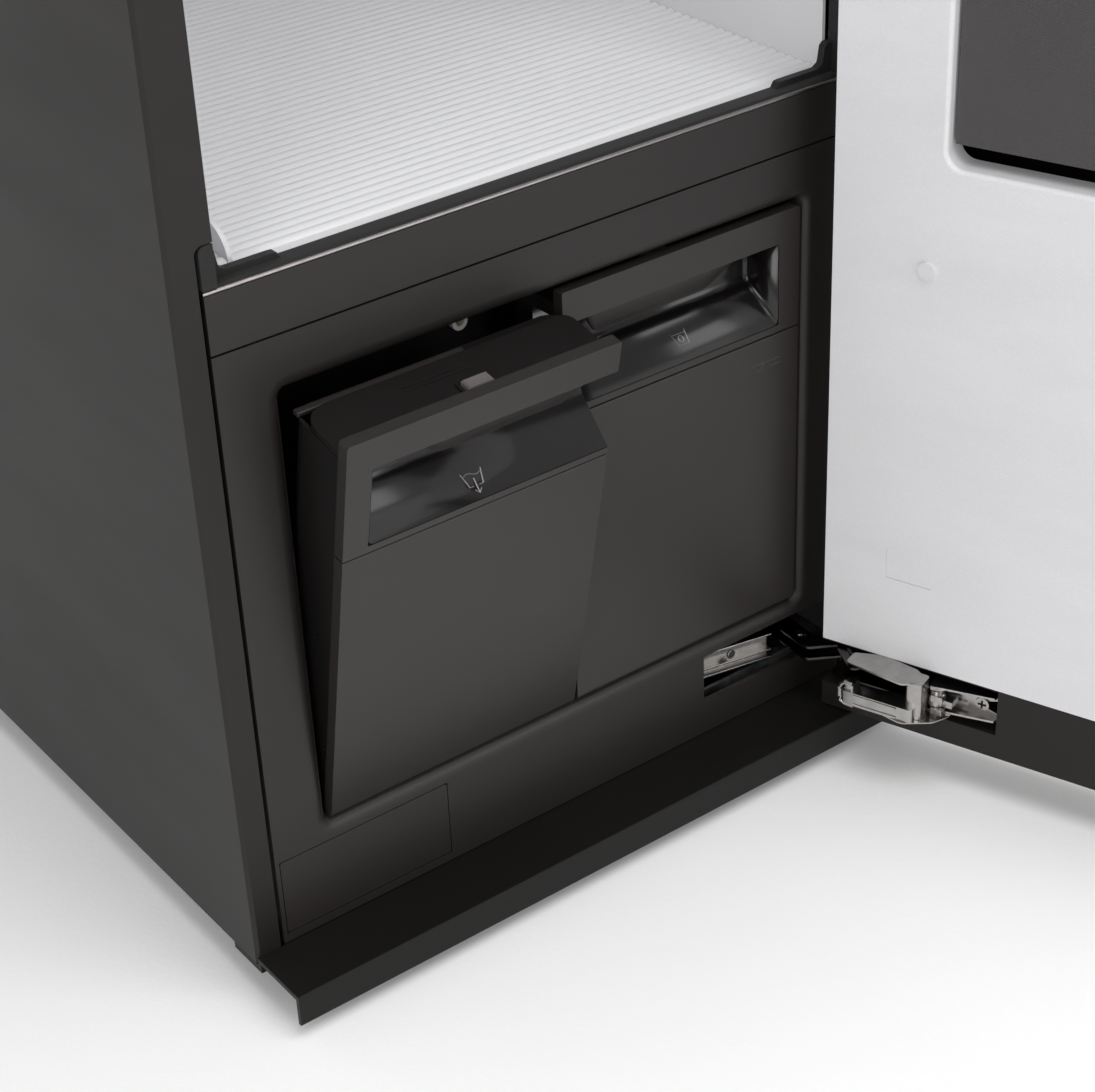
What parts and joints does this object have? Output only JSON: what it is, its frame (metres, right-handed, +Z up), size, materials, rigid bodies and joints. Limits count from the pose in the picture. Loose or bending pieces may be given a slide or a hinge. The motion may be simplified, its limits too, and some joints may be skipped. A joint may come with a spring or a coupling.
{
  "type": "garment steam care cabinet",
  "caption": "Tall slim garment steam-care cabinet with its door open, hanging chamber over two pull-out water tanks, concealed link hinges and levelling feet.",
  "frame": {"origin": "on the floor under the centre of the cabinet's footprint, door not counted", "axes": "+X to the cabinet's right as seen from the front, +Y to the back, +Z up"},
  "size_m": [0.584, 0.9812, 1.85],
  "materials": {
    "black_coated_steel": "fine satin black powder coat",
    "black_plastic": "satin moulded plastic",
    "dark_tank_plastic": "fine grained dark grey plastic",
    "tank_body_plastic": "smooth dark plastic",
    "white_plastic": "smooth white plastic",
    "grey_press_face": "smooth dark grey face",
    "seal_rubber": "soft dark grey rubber",
    "bright_trim": "bright trim strip",
    "hinge_steel": "nickel plated steel",
    "galvanised_steel": "galvanised sheet",
    "exchanger_aluminium": "bare fins",
    "compressor_enamel": "black enamel",
    "grey_plastic": "grey moulded plastic",
    "display_glass": "dark display glass"
  },
  "bodies": {
    "cabinet": {"base_pan": "galvanised_steel", "side_panel_left": "black_coated_steel", "side_panel_right": "black_coated_steel", "rear_panel": "galvanised_steel", "top_cover": "black_coated_steel", "header_bar": "black_plastic", "front_sill": "black_coated_steel", "tank_bezel": "black_plastic", "tank_bay": "tank_body_plastic", "dock_ports": "white_plastic", "crossbar": "black_plastic", "crossbar_strip": "bright_trim", "door_seal": "seal_rubber", "chamber_floor": "white_plastic", "chamber_wall_left": "white_plastic", "chamber_wall_right": "white_plastic", "chamber_wall_rear": "white_plastic", "chamber_ceiling": "white_plastic", "steam_nozzle": "white_plastic", "hinge_arm_lower": "hinge_steel", "hinge_arm_upper": "hinge_steel", "compressor": "compressor_enamel", "condenser": "exchanger_aluminium", "evaporator": "exchanger_aluminium", "blower_housing": "grey_plastic", "steam_generator": "galvanised_steel", "water_pumps": "grey_plastic", "control_box": "grey_plastic", "cord_inlet": "black_plastic", "shaker_motor": "galvanised_steel"},
    "hinge_links": {"hinge_link_lower": "hinge_steel", "hinge_link_upper": "hinge_steel"},
    "door": {"door_panel": "black_coated_steel", "door_frame": "black_plastic", "door_liner": "white_plastic", "press_board": "grey_press_face", "door_caps": "white_plastic", "display_window": "display_glass", "hinge_plate_lower": "hinge_steel", "hinge_plate_upper": "hinge_steel", "hinge_screws": "hinge_steel"},
    "press_leaf": {"press_leaf": "grey_press_face"},
    "drain_tank": {"drain_tank": "tank_body_plastic", "drain_tank_face": "dark_tank_plastic", "drain_tank_lid": "dark_tank_plastic"},
    "drain_latch": {"drain_tank_latch": "white_plastic"},
    "fill_tank": {"fill_tank": "tank_body_plastic", "fill_tank_face": "dark_tank_plastic", "fill_tank_lid": "dark_tank_plastic"},
    "fill_latch": {"fill_tank_latch": "white_plastic"},
    "service_cover": {"service_cover": "black_plastic"},
    "lint_filter": {"lint_filter": "grey_plastic"},
    "hanger_rail": {"hanger_rail": "grey_plastic"},
    "shaker_crank": {"shaker_crank": "galvanised_steel"},
    "blower_wheel": {"blower_wheel": "grey_plastic"},
    "foot_front_left": {"foot_front_left": "black_plastic"},
    "foot_front_right": {"foot_front_right": "black_plastic"},
    "foot_rear_left": {"foot_rear_left": "black_plastic"},
    "foot_rear_right": {"foot_rear_right": "black_plastic"}
  },
  "joints": [
    {"name": "hinge_link_swing", "type": "hinge", "parent": "cabinet", "child": "hinge_links", "pos_m": [0.17, -0.218, 0.063], "axis": [0, 0, 1], "range_deg": [0, 21]},
    {"name": "door_swing", "type": "hinge", "parent": "hinge_links", "child": "door", "pos_m": [0.18598, -0.29719, 0.063], "axis": [0, 0, 1], "range_deg": [-131, 0]},
    {"name": "press_leaf_swing", "type": "hinge", "parent": "door", "child": "press_leaf", "pos_m": [0.30757, -0.64061, 0.9], "axis": [0, 0, 1], "range_deg": [0, 90]},
    {"name": "drain_tank_tilt", "type": "hinge", "parent": "cabinet", "child": "drain_tank", "pos_m": [0, -0.264, 0.104], "axis": [1, 0, 0], "range_deg": [-12, 0]},
    {"name": "fill_tank_tilt", "type": "hinge", "parent": "cabinet", "child": "fill_tank", "pos_m": [0, -0.264, 0.104], "axis": [1, 0, 0], "range_deg": [0, 12]},
    {"name": "drain_latch_press", "type": "slide", "parent": "drain_tank", "child": "drain_latch", "axis": [0, 0.2079, -0.9781], "range_m": [0, 0.002], "stiffness_N_per_m": 400},
    {"name": "fill_latch_press", "type": "slide", "parent": "fill_tank", "child": "fill_latch", "axis": [0, 0, -1], "range_m": [0, 0.002], "stiffness_N_per_m": 400},
    {"name": "service_cover_pull", "type": "slide", "parent": "cabinet", "child": "service_cover", "axis": [0, -1, 0], "range_m": [0, 0.04]},
    {"name": "lint_filter_lift", "type": "slide", "parent": "cabinet", "child": "lint_filter", "axis": [0, 0, 1], "range_m": [0, 0.12]},
    {"name": "hanger_shake", "type": "slide", "parent": "cabinet", "child": "hanger_rail", "axis": [1, 0, 0], "range_m": [-0.012, 0.012]},
    {"name": "shaker_spin", "type": "hinge", "parent": "cabinet", "child": "shaker_crank", "pos_m": [0, 0, 1.79], "axis": [0, 0, 1], "continuous": true},
    {"name": "blower_spin", "type": "hinge", "parent": "cabinet", "child": "blower_wheel", "pos_m": [0.07, 0.06, 0.205], "axis": [1, 0, 0], "continuous": true},
    {"name": "foot_front_left_turn", "type": "hinge", "parent": "cabinet", "child": "foot_front_left", "pos_m": [-0.1825, -0.235, 0.02], "axis": [0, 0, 1], "continuous": true},
    {"name": "foot_front_right_turn", "type": "hinge", "parent": "cabinet", "child": "foot_front_right", "pos_m": [0.1825, -0.235, 0.02], "axis": [0, 0, 1], "continuous": true},
    {"name": "foot_rear_left_turn", "type": "hinge", "parent": "cabinet", "child": "foot_rear_left", "pos_m": [-0.1825, 0.235, 0.02], "axis": [0, 0, 1], "continuous": true},
    {"name": "foot_rear_right_turn", "type": "hinge", "parent": "cabinet", "child": "foot_rear_right", "pos_m": [0.1825, 0.235, 0.02], "axis": [0, 0, 1], "continuous": true}
  ],
  "couplings": [
    {"joint": "hinge_link_swing", "follows": "door_swing", "ratio": -0.16031},
    {"joint": "drain_tank_tilt", "follows": "door_swing", "ratio": 0.091603}
  ]
}
